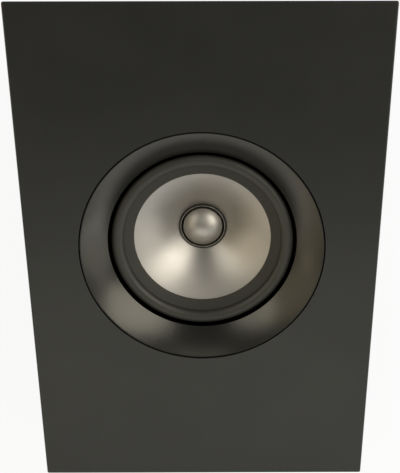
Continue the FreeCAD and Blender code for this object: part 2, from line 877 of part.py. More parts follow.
def make_pads():
    outline = wedge_corners(wall_thickness + pad_margin, baffle_thickness + pad_margin)
    inside = cabinet_width / 2 - wall_thickness
    pads = {}
    for name, side in (("damping_pad_left", -1), ("damping_pad_right", 1)):
        face = polygon_face([point(side * inside, y, z) for y, z in outline])
        pads[name] = face.extrude(point(-side * pad_thickness, 0, 0))
    return pads


def make_wires():
    wire_radius = wire_diameter / 2
    board_rear = board_y + board_length / 2
    lug_end = post_spacing / 2 + lug_reach
    lug_y = cabinet_depth / 2 + nut_seat
    run_z = inner_floor + wire_radius + fit_gap
    strip_outer = -(shelf_inner + frame_wall + fit_gap + strip_length)
    tab_end = point(0, strip_outer - tab_reach, shelf_back - strip_thickness - tab_thickness / 2)
    tab_world = driver_place.multVec(tab_end)
    tab_ahead = driver_place.Rotation.multVec(point(0, -1, 0))
    wires = {}
    pad_y = board_rear - board_corner_inset
    far_pad_y = board_rear - board_length + board_corner_inset
    over_board = board_top + wire_clear
    over_coil = board_top + bobbin_height + wire_diameter
    for name, side in (("positive", -1), ("negative", 1)):
        # The rear frame's +X is the cabinet's -X, so the red post stands on the left
        x = side * (lug_end - wire_radius)
        wires["supply_wire_" + name] = cord(
            [
                point(x, lug_y, cup_centre),
                point(x, lug_y - wire_clear, cup_centre),
                point(x, lug_y - wire_clear, run_z),
                point(x, board_rear + wire_clear, run_z),
                point(x, board_rear + wire_clear, over_board),
                point(x, pad_y, over_board),
                point(x, pad_y, board_top),
            ],
            wire_diameter,
            wire_bend,
        )
        tab_x = -side * tab_spacing / 2
        start = point(tab_x, tab_world.y, tab_world.z)
        turn = start + tab_ahead * wire_clear
        wires["driver_wire_" + name] = cord(
            [start, turn, point(tab_x, far_pad_y, over_coil), point(tab_x, far_pad_y, board_top)],
            wire_diameter,
            wire_bend,
        )
    return wires


def make_all():
    solids = make_panels()
    solids["baffle"] = cut_baffle(solids["baffle"])
    solids["rear_panel"] = cut_rear_panel(solids["rear_panel"])
    solids["bottom_panel"] = cut_bottom_panel(solids["bottom_panel"])
    former, winding = make_voice_coil()
    gasket = tube(2 * flange_radius, 2 * cutout_radius, rebate_floor, flange_back)
    hole = moved(screw_hole(driver_screw_length), screw_circle, 0, flange_front)
    for copy in around(hole, driver_screw_count, first_screw_angle):
        gasket = gasket.cut(copy)
    driver_screw = moved(screw(driver_screw_length), screw_circle, 0, flange_front)
    driver = {
        "trim_ring": make_trim_ring(),
        "basket": make_basket(),
        "basket_gasket": gasket,
        "driver_screws": Part.makeCompound(around(driver_screw, driver_screw_count, first_screw_angle)),
        "surround": make_surround(),
        "cone": make_cone(),
        "neck_bead": make_neck_bead(),
        "coil_former": former,
        "voice_coil": winding,
        "spider": make_spider(),
    }
    driver.update(make_motor())
    driver.update(make_driver_terminals())
    solids.update({name: on_baffle(shape) for name, shape in driver.items()})
    terminals = make_terminal_cup()
    terminals.update(make_posts())
    solids.update({name: on_rear(shape, cup_centre) for name, shape in terminals.items()})
    solids.update({name: on_rear(shape, hanger_centre) for name, shape in make_hanger().items()})
    for group in (make_network(), make_feet(), make_pads(), make_wires()):
        solids.update(group)
    return solids


for node, shape in make_all().items():
    shape.exportStep("parts/" + node + ".step")
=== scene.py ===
import json
import math

import bmesh
import bpy
from mathutils import Euler, Matrix, Vector
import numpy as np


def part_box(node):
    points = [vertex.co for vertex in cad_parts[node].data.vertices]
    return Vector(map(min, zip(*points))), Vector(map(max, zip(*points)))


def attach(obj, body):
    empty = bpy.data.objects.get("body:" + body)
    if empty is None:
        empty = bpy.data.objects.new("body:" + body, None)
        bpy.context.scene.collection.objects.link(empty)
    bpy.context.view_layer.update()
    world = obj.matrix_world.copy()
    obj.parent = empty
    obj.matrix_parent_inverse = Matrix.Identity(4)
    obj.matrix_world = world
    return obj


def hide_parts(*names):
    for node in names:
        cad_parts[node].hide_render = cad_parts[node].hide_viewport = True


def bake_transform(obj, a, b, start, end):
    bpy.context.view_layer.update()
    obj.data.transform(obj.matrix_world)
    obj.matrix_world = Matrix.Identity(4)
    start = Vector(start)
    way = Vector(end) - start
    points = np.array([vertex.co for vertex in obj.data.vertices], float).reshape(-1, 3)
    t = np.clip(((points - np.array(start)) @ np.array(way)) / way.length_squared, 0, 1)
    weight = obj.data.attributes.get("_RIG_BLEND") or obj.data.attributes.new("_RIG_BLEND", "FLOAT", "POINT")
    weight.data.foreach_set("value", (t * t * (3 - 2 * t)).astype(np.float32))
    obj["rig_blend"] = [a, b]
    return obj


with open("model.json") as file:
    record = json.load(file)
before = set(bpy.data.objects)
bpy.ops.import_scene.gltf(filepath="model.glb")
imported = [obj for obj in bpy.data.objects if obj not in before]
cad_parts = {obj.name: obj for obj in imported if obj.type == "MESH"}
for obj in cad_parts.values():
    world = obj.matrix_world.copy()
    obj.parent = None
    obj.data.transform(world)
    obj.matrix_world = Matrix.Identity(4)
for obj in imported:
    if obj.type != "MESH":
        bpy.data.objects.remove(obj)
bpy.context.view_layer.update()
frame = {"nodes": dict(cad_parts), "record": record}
nodes = frame["nodes"]
scene = bpy.context.scene
scene.view_settings.view_transform = "Standard"
mm = 0.001
weldDistance, fineWeld = 1e-6, 1e-7  # metres

# camera: almost straight above, the raised rear edge at the top of the picture
cameraSet = {
    "place": (0.00579, 0.03700, 0.54275),
    "aim": (0.00639, 0.00840, 0.11101),
    "up": (0.00233, 1.0, 0.0),
    "lens": 64.79,
    "shift": (-0.0309, 0.0268),
}


def aimed(place, aim, up):
    forward = (Vector(aim) - Vector(place)).normalized()
    right = forward.cross(Vector(up)).normalized()
    turn = Matrix((right, right.cross(forward), -forward)).transposed()
    return Matrix.Translation(place) @ turn.to_4x4()


def addObject(name, data):
    item = bpy.data.objects.new(name, data)
    scene.collection.objects.link(item)
    return item


def addCamera(look):
    data = bpy.data.cameras.new("photoCamera")
    data.lens = look["lens"]
    data.shift_x, data.shift_y = look["shift"]
    camera = addObject("photoCamera", data)
    camera.matrix_world = aimed(look["place"], look["aim"], look["up"])
    scene.camera = camera


addCamera(cameraSet)

# soft boxes round the driver: degrees from the right, degrees up, width and height in metres, watts, tint
boxAim = Vector((0.0, 0.007, 0.09))
boxDistance = 0.9
softBoxes = {
    "front": {"turn": 268, "rise": 37, "size": (1.0, 0.4), "power": 1.46, "tint": (1.0, 0.99, 0.93)},
    "key": {"turn": 17, "rise": 41, "size": (0.75, 0.55), "power": 4.7, "tint": (1.0, 0.96, 0.90)},
    "rightFront": {"turn": 330, "rise": 14, "size": (0.5, 0.5), "power": 1.0, "tint": (1.0, 0.98, 0.93)},
    "rearLeft": {"turn": 150, "rise": 37, "size": (0.5, 0.5), "power": 1.7, "tint": (1.0, 0.97, 0.90)},
    "left": {"turn": 187, "rise": 29, "size": (0.7, 0.6), "power": 1.2, "tint": (1.0, 0.87, 0.64)},
    "lowLeft": {"turn": 222, "rise": 8, "size": (0.7, 0.4), "power": 0.65, "tint": (1.0, 0.84, 0.62)},
    "lowFront": {"turn": 262, "rise": 4, "size": (0.5, 0.3), "power": 0.25, "tint": (1.0, 0.95, 0.85)},
    "lowRight": {"turn": 300, "rise": 5, "size": (0.7, 0.4), "power": 0.58, "tint": (0.97, 0.98, 1.0)},
    "top": {"turn": 90, "rise": 80, "size": (0.4, 0.2), "power": 0.22, "tint": (1.0, 0.95, 0.85)},
}


def addSoftBox(name, look):
    turn, rise = math.radians(look["turn"]), math.radians(look["rise"])
    away = Vector((math.cos(turn) * math.cos(rise), math.sin(turn) * math.cos(rise), math.sin(rise)))
    data = bpy.data.lights.new(name, "AREA")
    data.shape = "RECTANGLE"
    data.size, data.size_y = look["size"]
    data.energy = look["power"]
    data.color = look["tint"]
    box = addObject(name, data)
    box.matrix_world = aimed(boxAim + away * boxDistance, boxAim, (0, 0, 1))


for boxName, boxLook in softBoxes.items():
    addSoftBox(boxName, boxLook)

worldSet = {"tint": (0.94, 0.95, 0.95), "strength": 0.17}
world = bpy.data.worlds.new("dimStudio")
scene.world = world
world.use_nodes = True
sky = world.node_tree.nodes["Background"].inputs
sky["Color"].default_value = (*worldSet["tint"], 1.0)
sky["Strength"].default_value = worldSet["strength"]
print("camera and", len(softBoxes), "soft boxes")


# node helpers
def addNode(tree, kind, **settings):
    node = tree.nodes.new(kind)
    for key, value in settings.items():
        setattr(node, key, value)
    return node


def feed(tree, socket, value):
    if isinstance(value, bpy.types.NodeSocket):
        tree.links.new(value, socket)
    else:
        socket.default_value = value


def nodeOf(tree, kind, inputs, **settings):  # a node with its inputs fed, as its first output
    node = addNode(tree, kind, **settings)
    for key, value in inputs.items():
        feed(tree, node.inputs[key], value)
    return node.outputs[0]


def mathOf(tree, operation, *values):
    return nodeOf(tree, "ShaderNodeMath", dict(enumerate(values)), operation=operation)


def mapRange(tree, value, fromLow, fromHigh, toLow=0.0, toHigh=1.0):
    return nodeOf(tree, "ShaderNodeMapRange", dict(enumerate((value, fromLow, fromHigh, toLow, toHigh))))


def mixColour(tree, factor, first, second):  # the node's colour sockets come after its other kinds
    node = addNode(tree, "ShaderNodeMix", data_type="RGBA")
    for key, value in ((0, factor), (6, first), (7, second)):
        feed(tree, node.inputs[key], value)
    return node.outputs[2]


def separated(tree, vector):
    node = addNode(tree, "ShaderNodeSeparateXYZ")
    feed(tree, node.inputs[0], vector)
    return node.outputs


def combined(tree, x=0.0, y=0.0, z=0.0):
    return nodeOf(tree, "ShaderNodeCombineXYZ", {0: x, 1: y, 2: z})


def axisDistance(tree, vector):  # from the Z axis
    squares = [mathOf(tree, "MULTIPLY", part, part) for part in separated(tree, vector)[:2]]
    return mathOf(tree, "SQRT", mathOf(tree, "ADD", *squares))


# shared surface effects
effectSizes = {
    "mottleRange": (0.35, 0.65),  # this part of the noise fills the whole mask
    "smudgeRange": (0.3, 0.7),
    "smudgeScale": 1.7,  # smudges against the clouds of colour
    "coarseScale": 0.3,  # coarse pebble against fine
    "coarseShare": 0.6,
}


def shaderGroup(name, inputs, outputs):
    group = bpy.data.node_groups.new(name, "ShaderNodeTree")
    for label, kind, value in inputs:
        socket = group.interface.new_socket(label, in_out="INPUT", socket_type=kind)
        if value is not None:
            socket.default_value = value
    for label, kind in outputs:
        group.interface.new_socket(label, in_out="OUTPUT", socket_type=kind)
    return group, group.nodes.new("NodeGroupInput").outputs, group.nodes.new("NodeGroupOutput").inputs


def noiseOf(tree, vector, scale, detail):
    return nodeOf(tree, "ShaderNodeTexNoise", {"Vector": vector, "Scale": scale, "Detail": detail})


vectorInput = ("Vector", "NodeSocketVector", None)


def reliefGroup(name, scale):
    return shaderGroup(name, [vectorInput, ("Scale", "NodeSocketFloat", scale)], [("Height", "NodeSocketFloat")])


def makeMottle():  # slow drift between two close colours
    group, given, result = shaderGroup(
        "mottle",
        [
            vectorInput,
            ("Scale", "NodeSocketFloat", 40.0),
            ("Dark", "NodeSocketColor", None),
            ("Light", "NodeSocketColor", None),
        ],
        [("Color", "NodeSocketColor")],
    )
    cloud = noiseOf(group, given["Vector"], given["Scale"], detail=4.0)
    share = mapRange(group, cloud, *effectSizes["mottleRange"])
    feed(group, result["Color"], mixColour(group, share, given["Dark"], given["Light"]))
    return group


def makeSmudge():  # handling marks in the gloss
    group, given, result = shaderGroup(
        "smudge",
        [
            vectorInput,
            ("Scale", "NodeSocketFloat", 30.0),
            ("Low", "NodeSocketFloat", 0.4),
            ("High", "NodeSocketFloat", 0.5),
        ],
        [("Roughness", "NodeSocketFloat")],
    )
    cloud = noiseOf(group, given["Vector"], given["Scale"], detail=3.0)
    gloss = mapRange(group, cloud, *effectSizes["smudgeRange"], given["Low"], given["High"])
    feed(group, result["Roughness"], gloss)
    return group


def makeGrain():  # moulded or embossed pebble, fine over coarse
    group, given, result = reliefGroup("grain", 2000.0)
    fine = noiseOf(group, given["Vector"], given["Scale"], detail=1.0)
    coarseScale = mathOf(group, "MULTIPLY", given["Scale"], effectSizes["coarseScale"])
    coarse = noiseOf(group, given["Vector"], coarseScale, detail=2.0)
    coarse = mathOf(group, "MULTIPLY", coarse, effectSizes["coarseShare"])
    feed(group, result["Height"], mathOf(group, "ADD", fine, coarse))
    return group


def makeRings():  # marks of the lathe around the Z axis
    group, given, result = reliefGroup("rings", 3000.0)
    reach = mathOf(group, "MULTIPLY", axisDistance(group, given["Vector"]), given["Scale"])
    inputs = {"W": reach, "Scale": 1.0, "Detail": 2.0}
    feed(group, result["Height"], nodeOf(group, "ShaderNodeTexNoise", inputs, noise_dimensions="1D"))
    return group


def makeWeave():  # crossed threads
    group, given, result = reliefGroup("weave", 2000.0)
    waves = [
        mathOf(group, "SINE", mathOf(group, "MULTIPLY", part, given["Scale"]))
        for part in separated(group, given["Vector"])
    ]
    threads = mathOf(group, "MULTIPLY", waves[0], mathOf(group, "ADD", waves[1], waves[2]))
    fuzz = noiseOf(group, given["Vector"], given["Scale"], detail=1.0)
    feed(group, result["Height"], mathOf(group, "ADD", threads, fuzz))
    return group


def makeBand():  # 0 to 1 between two distances from the Z axis
    group, given, result = shaderGroup(
        "band",
        [vectorInput, ("Start", "NodeSocketFloat", 0.01), ("End", "NodeSocketFloat", 0.02)],
        [("Mask", "NodeSocketFloat")],
    )
    radius = axisDistance(group, given["Vector"])
    feed(group, result["Mask"], mapRange(group, radius, given["Start"], given["End"]))
    return group


effects = {
    "mottle": makeMottle(),
    "smudge": makeSmudge(),
    "grain": makeGrain(),
    "rings": makeRings(),
    "weave": makeWeave(),
    "band": makeBand(),
}
print("shared effects:", ", ".join(effects))

# the driver's frame: on the sloped face, z outwards, y up the slope
driverCentre = Vector((0.0, 6.978, 110.490)) * mm
faceSlope = 20.0  # degrees
driverTurn = Euler((math.radians(faceSlope), 0, 0))
# the rear frame: on the rear panel, z outwards, y up
rearPlane = 123.5 * mm
rearTurn = Matrix(((-1, 0, 0), (0, 0, 1), (0, 1, 0))).to_euler()


def placeEffect(tree, name, vector, **values):
    node = addNode(tree, "ShaderNodeGroup", node_tree=effects[name])
    feed(tree, node.inputs["Vector"], vector)
    for label, value in values.items():
        node.inputs[label].default_value = value
    return node.outputs


def bandMask(tree, vector, radii):  # radii in mm
    start, end = radii
    return placeEffect(tree, "band", vector, Start=start * mm, End=end * mm)["Mask"]


# black painted into the shadowed gap between the trim ring and the roll
paintedShadeBlack = (0.001, 0.001, 0.001, 1.0)


def makeFinish(name, look):
    material = bpy.data.materials.new(name)
    material.use_nodes = True
    tree = material.node_tree
    bsdf = tree.nodes["Principled BSDF"]
    vector = addNode(tree, "ShaderNodeTexCoord").outputs["Object"]
    if look.get("onDriver"):
        inputs = {"Vector": vector, "Location": driverCentre, "Rotation": driverTurn}
        vector = nodeOf(tree, "ShaderNodeMapping", inputs, vector_type="TEXTURE")
    dark, light = [(*look[key], 1.0) for key in ("dark", "light")]
    base = placeEffect(tree, "mottle", vector, Scale=look["drift"], Dark=dark, Light=light)["Color"]
    low, high = look["rough"]
    smudges = look["drift"] * effectSizes["smudgeScale"]
    rough = placeEffect(tree, "smudge", vector, Scale=smudges, Low=low, High=high)["Roughness"]
    if "dullUntil" in look:  # the glued lip is darker and duller than the roll
        roll = bandMask(tree, vector, look["dullUntil"])
        base = mixColour(tree, roll, (*look["dull"], 1.0), base)
        rough = mathOf(tree, "MAXIMUM", rough, mapRange(tree, roll, 0.0, 1.0, look["dullRough"], 0.0))
    if "blackFrom" in look:  # painted shade: the finish runs out into black where the gap round the ring's opening lies in shadow
        paintedShadeMask = bandMask(tree, vector, look["blackFrom"])
        base = mixColour(tree, paintedShadeMask, base, paintedShadeBlack)
        rough = mathOf(tree, "MAXIMUM", rough, paintedShadeMask)
        feed(tree, bsdf.inputs["Metallic"], paintedShadeMask)  # the painted shade is black metal, so it mirrors next to nothing
    feed(tree, bsdf.inputs["Base Color"], base)
    feed(tree, bsdf.inputs["Roughness"], rough)
    pattern, scale, depth = look["relief"]
    height = placeEffect(tree, pattern, vector, Scale=scale)["Height"]
    feed(tree, bsdf.inputs["Normal"], nodeOf(tree, "ShaderNodeBump", {"Distance": depth, "Height": height}))
    bsdf.inputs["Metallic"].default_value = look.get("metal", 0.0)
    for label, value in look.get("extra", {}).items():
        bsdf.inputs[label].default_value = value
    return material


# one entry for each finish: linear colours, cloud size, gloss range, and relief as (kind, scale, metres deep);
# onDriver lays the pattern round the driver's axis, where dullUntil and the start of the black band of painted
# shade are radii in mm
finishes = {
    "cabinet_vinyl": {
        "dark": (0.011, 0.011, 0.0096), "light": (0.013, 0.013, 0.0114), "drift": 25.0, "rough": (0.35, 0.39),
        "relief": ("grain", 2600.0, 0.00003), "extra": {"Specular Tint": (0.995, 1.0, 0.93, 1.0)},
    },
    "trim_plastic": {
        "dark": (0.003, 0.003, 0.0028), "light": (0.005, 0.005, 0.0047), "drift": 30.0, "rough": (0.25, 0.28),
        # painted shade: black on the ring's inner wall, inside r 49.25 mm, where it lies in shadow
        "relief": ("grain", 3500.0, 0.000008), "onDriver": True, "blackFrom": (49.35, 49.25),
        "extra": {"Specular IOR Level": 0.72, "Specular Tint": (1.0, 0.97, 0.83, 1.0)},
    },
    "cup_plastic": {
        "dark": (0.012, 0.012, 0.012), "light": (0.018, 0.018, 0.018), "drift": 60.0, "rough": (0.42, 0.55),
        "relief": ("grain", 2200.0, 0.00004),
    },
    "frame_paint": {
        "dark": (0.010, 0.010, 0.010), "light": (0.016, 0.016, 0.016), "drift": 50.0, "rough": (0.35, 0.5),
        "relief": ("grain", 1500.0, 0.00003),
    },
    "screw_black": {
        "dark": (0.010, 0.010, 0.011), "light": (0.022, 0.022, 0.023), "drift": 400.0, "rough": (0.3, 0.45),
        "relief": ("grain", 3000.0, 0.00001), "metal": 0.6,
    },
    "screw_steel": {
        "dark": (0.42, 0.42, 0.40), "light": (0.58, 0.57, 0.53), "drift": 400.0, "rough": (0.22, 0.38),
        "relief": ("grain", 3000.0, 0.00001), "metal": 1.0,
    },
    "cone_metal": {
        "dark": (0.44, 0.415, 0.370), "light": (0.466, 0.44, 0.396), "drift": 60.0, "rough": (0.40, 0.44),
        "relief": ("rings", 4000.0, 0.000002), "metal": 1.0, "onDriver": True,
    },
    "plug_metal": {
        "dark": (0.50, 0.472, 0.417), "light": (0.53, 0.50, 0.446), "drift": 90.0, "rough": (0.42, 0.46),
        "relief": ("rings", 5000.0, 0.000002), "metal": 1.0, "onDriver": True,
    },
    "former_foil": {
        "dark": (0.35, 0.32, 0.26), "light": (0.5, 0.46, 0.38), "drift": 200.0, "rough": (0.35, 0.5),
        "relief": ("grain", 2500.0, 0.00001), "metal": 1.0,
    },
    "coil_copper": {
        "dark": (0.52, 0.20, 0.08), "light": (0.66, 0.30, 0.13), "drift": 300.0, "rough": (0.25, 0.4),
        "relief": ("grain", 1800.0, 0.00002), "metal": 1.0,
    },
    "surround_rubber": {
        "dark": (0.022, 0.0213, 0.0172), "light": (0.026, 0.0252, 0.0203), "drift": 50.0, "rough": (0.47, 0.53),
        # painted shade: black on the roll's outer foot, beyond r 47.25 mm, in the shadowed gap under the ring
        "relief": ("grain", 3000.0, 0.000012), "onDriver": True, "blackFrom": (47.25, 47.5),
        "dullUntil": (40.7, 41.3), "dull": (0.013, 0.0126, 0.010), "dullRough": 0.58,
        "extra": {"Specular IOR Level": 0.64, "Specular Tint": (1.0, 0.99, 0.86, 1.0)},
    },
    "bead_glue": {
        "dark": (0.010, 0.009, 0.007), "light": (0.018, 0.016, 0.012), "drift": 250.0, "rough": (0.3, 0.45),
        "relief": ("grain", 900.0, 0.00004), "onDriver": True,
    },
    "gasket_foam": {
        "dark": (0.012, 0.012, 0.012), "light": (0.03, 0.03, 0.03), "drift": 300.0, "rough": (0.85, 0.95),
        "relief": ("grain", 1500.0, 0.00015),
    },
    "spider_cloth": {
        "dark": (0.42, 0.25, 0.07), "light": (0.55, 0.36, 0.12), "drift": 120.0, "rough": (0.75, 0.9),
        "relief": ("weave", 5000.0, 0.00008), "onDriver": True,
    },
    "motor_steel": {
        "dark": (0.38, 0.38, 0.38), "light": (0.5, 0.5, 0.49), "drift": 80.0, "rough": (0.3, 0.42),
        "relief": ("rings", 4000.0, 0.000006), "metal": 1.0, "onDriver": True,
    },
    "magnet_ferrite": {
        "dark": (0.022, 0.022, 0.024), "light": (0.045, 0.045, 0.047), "drift": 90.0, "rough": (0.6, 0.75),
        "relief": ("grain", 1400.0, 0.00005), "onDriver": True,
    },
    "strip_board": {
        "dark": (0.13, 0.055, 0.02), "light": (0.19, 0.085, 0.035), "drift": 200.0, "rough": (0.5, 0.65),
        "relief": ("weave", 6000.0, 0.00002),
    },
    "tab_brass": {
        "dark": (0.48, 0.42, 0.27), "light": (0.60, 0.54, 0.38), "drift": 200.0, "rough": (0.28, 0.4),
        "relief": ("grain", 2500.0, 0.00001), "metal": 1.0,
    },
    "tinsel_copper": {
        "dark": (0.42, 0.28, 0.15), "light": (0.6, 0.43, 0.25), "drift": 500.0, "rough": (0.3, 0.5),
        "relief": ("weave", 9000.0, 0.00006), "metal": 1.0,
    },
    "post_brass": {
        "dark": (0.66, 0.43, 0.13), "light": (0.78, 0.54, 0.2), "drift": 150.0, "rough": (0.16, 0.26),
        "relief": ("grain", 2600.0, 0.000006), "metal": 1.0,
    },
    "knob_red": {
        "dark": (0.27, 0.007, 0.008), "light": (0.34, 0.012, 0.012), "drift": 150.0, "rough": (0.2, 0.32),
        "relief": ("grain", 2500.0, 0.000008),
    },
    "knob_black": {
        "dark": (0.008, 0.008, 0.008), "light": (0.014, 0.014, 0.014), "drift": 150.0, "rough": (0.2, 0.32),
        "relief": ("grain", 2500.0, 0.000008),
    },
    "hanger_steel": {
        "dark": (0.40, 0.40, 0.39), "light": (0.55, 0.55, 0.52), "drift": 70.0, "rough": (0.28, 0.45),
        "relief": ("grain", 1200.0, 0.00002), "metal": 1.0,
    },
    "board_laminate": {
        "dark": (0.014, 0.068, 0.022), "light": (0.016, 0.077, 0.025), "drift": 60.0, "rough": (0.3, 0.42),
        "relief": ("weave", 4500.0, 0.00002),
    },
    "bobbin_plastic": {
        "dark": (0.010, 0.010, 0.010), "light": (0.018, 0.018, 0.018), "drift": 150.0, "rough": (0.45, 0.6),
        "relief": ("grain", 2000.0, 0.00003),
    },
    "capacitor_film": {
        "dark": (0.42, 0.22, 0.02), "light": (0.5, 0.28, 0.035), "drift": 120.0, "rough": (0.22, 0.34),
        "relief": ("grain", 1500.0, 0.00002),
    },
    "resistor_ceramic": {
        "dark": (0.55, 0.52, 0.45), "light": (0.66, 0.63, 0.56), "drift": 250.0, "rough": (0.7, 0.85),
        "relief": ("grain", 1600.0, 0.00006),
    },
    "wire_red": {
        "dark": (0.24, 0.008, 0.008), "light": (0.30, 0.014, 0.012), "drift": 200.0, "rough": (0.4, 0.55),
        "relief": ("grain", 2500.0, 0.00002),
    },
    "wire_black": {
        "dark": (0.010, 0.010, 0.010), "light": (0.018, 0.018, 0.018), "drift": 200.0, "rough": (0.4, 0.55),
        "relief": ("grain", 2500.0, 0.00002),
    },
    "pad_wadding": {
        "dark": (0.55, 0.55, 0.52), "light": (0.72, 0.72, 0.69), "drift": 180.0, "rough": (0.9, 1.0),
        "relief": ("weave", 1500.0, 0.0004),
    },
    "foot_rubber": {
        "dark": (0.009, 0.009, 0.009), "light": (0.016, 0.016, 0.016), "drift": 120.0, "rough": (0.7, 0.85),
        "relief": ("grain", 2000.0, 0.00005),
    },
}
materials = {slotName: makeFinish(slotName, look) for slotName, look in finishes.items()}
slotOfNode = {row["node"]: row["material_slot"] for row in frame["record"]["subparts"]}
for nodeName, node in nodes.items():
    node.data.materials.clear()
    node.data.materials.append(materials[slotOfNode[nodeName]])
print("finishes:", len(materials))


# geometry nodes: trees with named inputs, each ending in realised, placed and painted mesh
placeInputs = [
    ("Place", "NodeSocketVector", (0, 0, 0)),
    ("Turn", "NodeSocketRotation", (0, 0, 0)),
    ("Material", "NodeSocketMaterial", None),
]


def geometryTree(name, inputs):
    tree = bpy.data.node_groups.new(name, "GeometryNodeTree")
    geometry = "NodeSocketGeometry"
    tree.interface.new_socket("Geometry", in_out="INPUT", socket_type=geometry)
    for label, kind, value in inputs + placeInputs:
        socket = tree.interface.new_socket(label, in_out="INPUT", socket_type=kind)
        if value is not None:
            socket.default_value = value
    tree.interface.new_socket("Geometry", in_out="OUTPUT", socket_type=geometry)
    return tree, tree.nodes.new("NodeGroupInput").outputs


def endTree(tree, given, shape):
    inputs = {"Geometry": shape, "Translation": given["Place"], "Rotation": given["Turn"]}
    moved = nodeOf(tree, "GeometryNodeTransform", inputs)
    real = nodeOf(tree, "GeometryNodeRealizeInstances", {"Geometry": moved})
    painted = nodeOf(tree, "GeometryNodeSetMaterial", {"Geometry": real, "Material": given["Material"]})
    feed(tree, tree.nodes.new("NodeGroupOutput").inputs[0], painted)
    return tree


def circleOf(tree, steps, radius):
    return nodeOf(tree, "GeometryNodeCurvePrimitiveCircle", {"Resolution": steps, "Radius": radius}, mode="RADIUS")


def latheNodes(tree, given):  # the host's edge loop is the section, swept round a circle
    outline = nodeOf(tree, "GeometryNodeMeshToCurve", {"Mesh": given["Geometry"]})
    corner = nodeOf(tree, "GeometryNodeInputNamedAttribute", {"Name": "corner"}, data_type="FLOAT")
    inputs = {"Curve": outline, "Count": given["Corner steps"], "Radius": corner, "Limit Radius": True}
    section = nodeOf(tree, "GeometryNodeFilletCurve", inputs, mode="POLY")
    circle = circleOf(tree, given["Segments"], given["Path radius"])
    upright = nodeOf(tree, "GeometryNodeSetCurveNormal", {"Curve": circle}, mode="Z_UP")
    sweep = nodeOf(tree, "GeometryNodeCurveToMesh", {"Curve": upright, "Profile Curve": section})
    return nodeOf(tree, "GeometryNodeMergeByDistance", {"Geometry": sweep, "Distance": weldDistance})


latheInputs = [
    ("Segments", "NodeSocketInt", 128),
    ("Corner steps", "NodeSocketInt", 4),
    ("Path radius", "NodeSocketFloat", 0.01),
]


def makeTurnedTree():
    tree, given = geometryTree("turnedPiece", latheInputs)
    return endTree(tree, given, latheNodes(tree, given))


def makeFlutedTree():  # a turned piece with grooves along its grip
    tree, given = geometryTree(
        "flutedPiece",
        latheInputs
        + [
            ("Flutes", "NodeSocketInt", 16),
            ("Flute depth", "NodeSocketFloat", 0.0005),
            ("Grip radius", "NodeSocketFloat", 0.006),
            ("Groove start", "NodeSocketFloat", -0.1),
            ("Grip low", "NodeSocketFloat", 0.0),
            ("Run out", "NodeSocketFloat", 0.0008),
        ],
    )
    shape = latheNodes(tree, given)
    spot = addNode(tree, "GeometryNodeInputPosition").outputs[0]
    x, y, z = separated(tree, spot)
    turn = mathOf(tree, "ARCTAN2", y, x)
    wave = mathOf(tree, "COSINE", mathOf(tree, "MULTIPLY", turn, given["Flutes"]))
    groove = mapRange(tree, wave, given["Groove start"], 1.0)
    radius = axisDistance(tree, spot)
    onGrip = mathOf(tree, "GREATER_THAN", radius, given["Grip radius"])
    along = mapRange(tree, z, given["Grip low"], mathOf(tree, "ADD", given["Grip low"], given["Run out"]))
    depth = mathOf(tree, "MULTIPLY", mathOf(tree, "MULTIPLY", groove, along), onGrip)
    depth = mathOf(tree, "MULTIPLY", depth, mathOf(tree, "MULTIPLY", given["Flute depth"], -1.0))
    inwards = [mathOf(tree, "DIVIDE", mathOf(tree, "MULTIPLY", part, depth), radius) for part in (x, y)]
    inputs = {"Geometry": shape, "Offset": combined(tree, *inwards)}
    return endTree(tree, given, nodeOf(tree, "GeometryNodeSetPosition", inputs))


def makeScrewTree():  # one screw turned from the host's loop, set on each point of the Places object
    barHeight = 4 * mm
    tree, given = geometryTree(
        "screwSet",
        latheInputs
        + [
            ("Places", "NodeSocketObject", None),
            ("Recess width", "NodeSocketFloat", 0.0013),
            ("Recess length", "NodeSocketFloat", 0.0038),
            ("Recess floor", "NodeSocketFloat", 0.0008),
            ("Seed", "NodeSocketInt", 3),
        ],
    )
    body = latheNodes(tree, given)
    lift = combined(tree, z=mathOf(tree, "ADD", given["Recess floor"], barHeight / 2))
    for wide, long in (("Recess width", "Recess length"), ("Recess length", "Recess width")):
        bar = nodeOf(tree, "GeometryNodeMeshCube", {"Size": combined(tree, given[wide], given[long], barHeight)})
        raised = nodeOf(tree, "GeometryNodeTransform", {"Geometry": bar, "Translation": lift})
        inputs = {"Mesh 1": body, "Mesh 2": raised}
        body = nodeOf(tree, "GeometryNodeMeshBoolean", inputs, operation="DIFFERENCE")
    spots = addNode(tree, "GeometryNodeObjectInfo")
    feed(tree, spots.inputs["Object"], given["Places"])
    chance = addNode(tree, "FunctionNodeRandomValue", data_type="FLOAT")
    chance.inputs[3].default_value = math.tau  # the upper end of the plain number
    feed(tree, chance.inputs["Seed"], given["Seed"])
    spin = nodeOf(tree, "FunctionNodeEulerToRotation", {0: combined(tree, z=chance.outputs[1])})
    inputs = {"Points": spots.outputs["Geometry"], "Instance": body, "Rotation": spin}
    return endTree(tree, given, nodeOf(tree, "GeometryNodeInstanceOnPoints", inputs))


